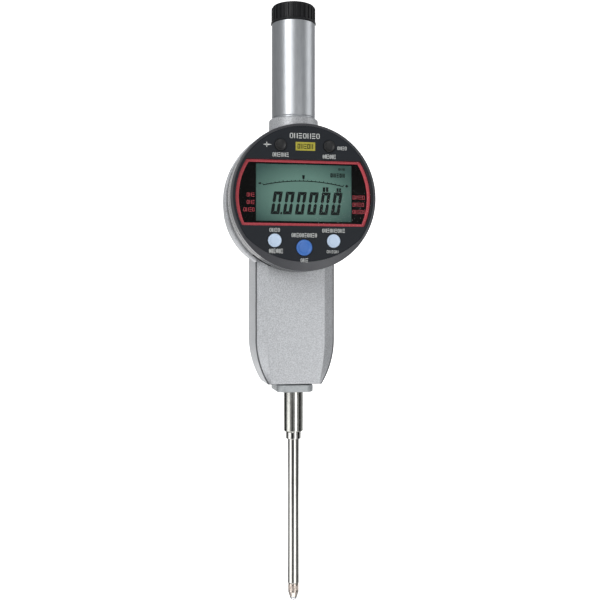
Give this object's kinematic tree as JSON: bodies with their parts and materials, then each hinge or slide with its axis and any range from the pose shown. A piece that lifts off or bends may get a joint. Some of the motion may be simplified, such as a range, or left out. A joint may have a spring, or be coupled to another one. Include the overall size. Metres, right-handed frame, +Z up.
{
  "type": "digital dial indicator",
  "caption": "Long-travel digital indicator: round turning display on a slim case, plain stem and spindle below, tall capped tube above.",
  "frame": {"origin": "on the spindle axis, at the middle of the mounting stem, where a stand or fixture clamps it", "axes": "+Z up along the spindle, away from the contact point; the display faces -Y; +X is to the right seen from the display"},
  "size_m": [0.0592, 0.0431, 0.2454],
  "materials": {
    "satin_paint": "satin silver paint over die-cast metal",
    "alloy": "fine turned and brushed aluminium",
    "polished_steel": "ground and polished stainless steel",
    "plain_steel": "plain turned steel",
    "bushing_bronze": "turned bronze",
    "carbide": "polished carbide",
    "dark_rim": "dark grey semi-gloss moulding",
    "face_panel": "black printed panel with a fine grain",
    "window_glass": "clear window",
    "scale_glass": "scale strip with fine electrodes",
    "liquid_crystal": "grey-green liquid crystal panel",
    "light_box": "white plastic",
    "circuit_board": "green solder mask",
    "rubber": "moulded rubber",
    "black_plastic": "moulded black plastic",
    "black_key": "fine grain",
    "pale_key": "smooth pale blue",
    "blue_key": "smooth mid blue"
  },
  "bodies": {
    "housing": {"rear_case": "satin_paint", "front_cover": "satin_paint", "back_cover": "satin_paint", "back_screw_1": "plain_steel", "back_screw_2": "plain_steel", "back_screw_3": "plain_steel", "back_screw_4": "plain_steel", "stem_block": "alloy", "stem": "polished_steel", "stem_end_ring": "polished_steel", "lower_bushing": "bushing_bronze", "middle_bushing": "bushing_bronze", "spindle_tube": "alloy", "tube_set_screw": "plain_steel", "upper_bridge": "alloy", "upper_bushing": "bushing_bronze", "bridge_screw_1": "plain_steel", "bridge_screw_2": "plain_steel", "guide_rail": "plain_steel", "detector_board": "circuit_board", "board_screw_1": "plain_steel", "board_screw_2": "plain_steel", "detector_head": "black_plastic", "bumper_ring": "rubber", "spring_post": "alloy", "return_spring": "polished_steel"},
    "measuring_spindle": {"spindle": "polished_steel", "contact_point": "polished_steel", "contact_ball": "carbide", "stop_collar": "plain_steel", "scale_carrier": "alloy", "scale_strip": "scale_glass", "scale_screw": "plain_steel", "guide_pin": "polished_steel"},
    "display": {"display_case": "dark_rim", "display_bezel": "dark_rim", "face_plate": "face_panel", "window_lens": "window_glass", "lcd_panel": "liquid_crystal", "lcd_frame": "light_box", "contact_strip": "rubber", "main_board": "circuit_board", "upper_keypad": "rubber", "lower_keypad": "rubber", "display_screw_1": "plain_steel", "display_screw_2": "plain_steel", "display_screw_3": "plain_steel", "display_screw_4": "plain_steel", "turn_stop_pin": "plain_steel", "friction_washer": "bushing_bronze", "retaining_ring": "plain_steel", "data_socket": "black_plastic"},
    "battery_door": {"battery_hatch": "dark_rim", "battery_cell": "plain_steel"},
    "cap": {"tube_cap": "black_plastic"},
    "power_button": {"power_button": "black_key"},
    "menu_button": {"menu_button": "black_key"},
    "preset_button": {"preset_button": "pale_key"},
    "zero_button": {"zero_button": "blue_key"},
    "hold_button": {"hold_button": "pale_key"}
  },
  "joints": [
    {"name": "spindle_travel", "type": "slide", "parent": "housing", "child": "measuring_spindle", "axis": [0, 0, 1], "range_m": [0, 0.0508], "stiffness_N_per_m": 11.8, "springref_m": -0.1, "deforming": ["return_spring"]},
    {"name": "display_turn", "type": "hinge", "parent": "housing", "child": "display", "pos_m": [0, -0.0164, 0.0859], "axis": [0, 1, 0], "range_deg": [-162, 162]},
    {"name": "battery_door_slide", "type": "slide", "parent": "display", "child": "battery_door", "axis": [0.7071, 0, -0.7071], "range_m": [0, 0.016]},
    {"name": "cap_removal", "type": "slide", "parent": "housing", "child": "cap", "axis": [0, 0, 1], "range_m": [0, 0.02]},
    {"name": "power_press", "type": "slide", "parent": "display", "child": "power_button", "axis": [0, 1, 0], "range_m": [0, 0.0005], "stiffness_N_per_m": 2500, "springref_m": -0.00015},
    {"name": "menu_press", "type": "slide", "parent": "display", "child": "menu_button", "axis": [0, 1, 0], "range_m": [0, 0.0005], "stiffness_N_per_m": 2500, "springref_m": -0.00015},
    {"name": "preset_press", "type": "slide", "parent": "display", "child": "preset_button", "axis": [0, 1, 0], "range_m": [0, 0.0005], "stiffness_N_per_m": 2500, "springref_m": -0.00015},
    {"name": "zero_press", "type": "slide", "parent": "display", "child": "zero_button", "axis": [0, 1, 0], "range_m": [0, 0.0005], "stiffness_N_per_m": 2500, "springref_m": -0.00015},
    {"name": "hold_press", "type": "slide", "parent": "display", "child": "hold_button", "axis": [0, 1, 0], "range_m": [0, 0.0005], "stiffness_N_per_m": 2500, "springref_m": -0.00015}
  ]
}
